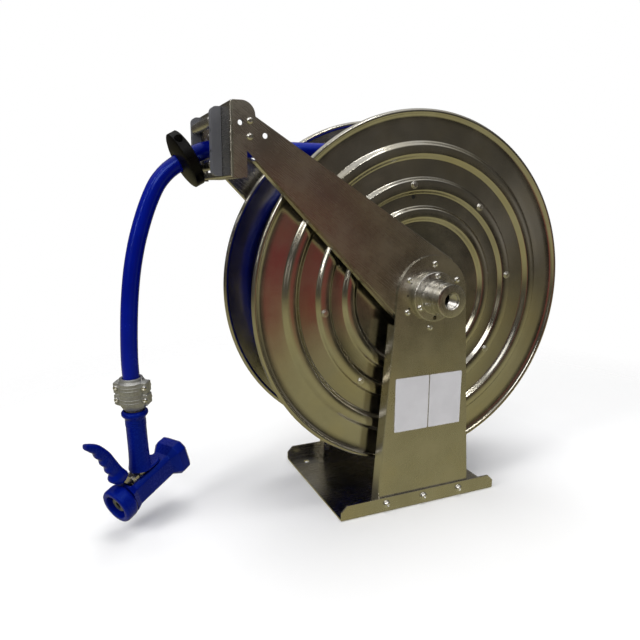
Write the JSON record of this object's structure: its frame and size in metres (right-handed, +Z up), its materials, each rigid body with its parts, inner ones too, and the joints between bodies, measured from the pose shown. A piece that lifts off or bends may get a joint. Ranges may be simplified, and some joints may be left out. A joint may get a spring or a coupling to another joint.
{
  "type": "spring rewind hose reel",
  "caption": "Stainless spring-rewind hose reel with ribbed drum discs, roller hose guide, blue hose, ball stop and wash-down gun.",
  "frame": {"origin": "on the floor under the middle of the axle, in the underside of the base plate", "axes": "+Z up; the axle runs along Y, the water inlet faces -Y, and the hose leaves towards -X"},
  "size_m": [0.8564, 0.318, 0.6684],
  "materials": {
    "stainless": "satin",
    "machined": "turned",
    "fastener": "bright",
    "cast": "as cast",
    "block": "matte",
    "black": "satin",
    "hose": "gloss",
    "gun": "satin",
    "seal": "matte",
    "spring": "blued",
    "bronze": "matte",
    "paper": "satin"
  },
  "bodies": {
    "frame": {"base_plate": "stainless", "front_post": "stainless", "rear_post": "stainless", "front_arm": "stainless", "rear_arm": "stainless", "outlet_bracket": "stainless", "roller_block_front": "block", "roller_block_rear": "block", "top_roller_pin": "fastener", "bottom_roller_pin": "fastener", "front_roller_pin": "fastener", "rear_roller_pin": "fastener", "inlet_body": "machined", "inlet_screw_top": "fastener", "inlet_screw_left": "fastener", "inlet_screw_right": "fastener", "front_bearing": "cast", "arbor_housing": "cast", "swivel_seal_inner": "seal", "swivel_seal_outer": "seal", "spring_arbor": "machined", "arbor_clamp": "machined", "pawl_pin": "fastener", "pawl_spring": "spring", "label_left": "paper", "label_right": "paper", "hose_free": "hose", "stopper_upper": "black", "stopper_lower": "black", "clamp_front": "cast", "clamp_rear": "cast", "hose_tail": "machined", "gun_valve_body": "machined", "gun_cover": "gun", "handle_sleeve": "gun", "gun_bumper": "gun", "gun_nozzle": "machined", "trigger_pin": "fastener", "stem_gland": "bronze", "stem_spring": "spring"},
    "drum": {"front_disc": "stainless", "rear_disc": "stainless", "drum_core": "stainless", "hollow_shaft": "machined", "gooseneck": "machined", "spring_case": "stainless", "power_spring": "spring", "rear_bush": "bronze", "ratchet_wheel": "machined", "hose_inner_layers": "hose", "hose_wound": "hose"},
    "top_roller_turning": {"top_roller": "machined"},
    "bottom_roller_turning": {"bottom_roller": "machined"},
    "front_roller_turning": {"front_roller": "machined"},
    "rear_roller_turning": {"rear_roller": "machined"},
    "pawl_lever": {"pawl": "machined"},
    "trigger_lever": {"trigger_arm": "machined", "trigger_grip": "gun"},
    "valve": {"valve_stem": "machined"}
  },
  "joints": [
    {"name": "drum_spin", "type": "hinge", "parent": "frame", "child": "drum", "pos_m": [0, 0, 0.37], "axis": [0, 1, 0], "continuous": true, "deforming": ["power_spring"]},
    {"name": "top_roller_spin", "type": "hinge", "parent": "frame", "child": "top_roller_turning", "pos_m": [-0.3452, 0, 0.641], "axis": [0, 1, 0], "continuous": true},
    {"name": "bottom_roller_spin", "type": "hinge", "parent": "frame", "child": "bottom_roller_turning", "pos_m": [-0.3452, 0, 0.5801], "axis": [0, 1, 0], "continuous": true},
    {"name": "front_roller_spin", "type": "hinge", "parent": "frame", "child": "front_roller_turning", "pos_m": [-0.318, -0.032, 0.611], "axis": [0, 0, 1], "continuous": true},
    {"name": "rear_roller_spin", "type": "hinge", "parent": "frame", "child": "rear_roller_turning", "pos_m": [-0.318, 0.032, 0.611], "axis": [0, 0, 1], "continuous": true},
    {"name": "pawl_lift", "type": "hinge", "parent": "frame", "child": "pawl_lever", "pos_m": [-0.0133, 0, 0.44696], "axis": [0, 1, 0], "range_deg": [0, 18], "stiffness_Nm_per_rad": 0.08, "springref_deg": -17.19, "deforming": ["pawl_spring"]},
    {"name": "trigger_squeeze", "type": "hinge", "parent": "frame", "child": "trigger_lever", "pos_m": [-0.48411, -0.00974, 0.08502], "axis": [-0.5528, 0.833, -0.0214], "range_deg": [0, 26], "stiffness_Nm_per_rad": 2, "springref_deg": -8.59, "deforming": ["stem_spring"]},
    {"name": "valve_slide", "type": "slide", "parent": "frame", "child": "valve", "axis": [-0.792, -0.5332, -0.2974], "range_m": [0, 0.0087]}
  ],
  "couplings": [
    {"joint": "valve_slide", "follows": "trigger_squeeze", "m_per_rad": 0.019}
  ]
}
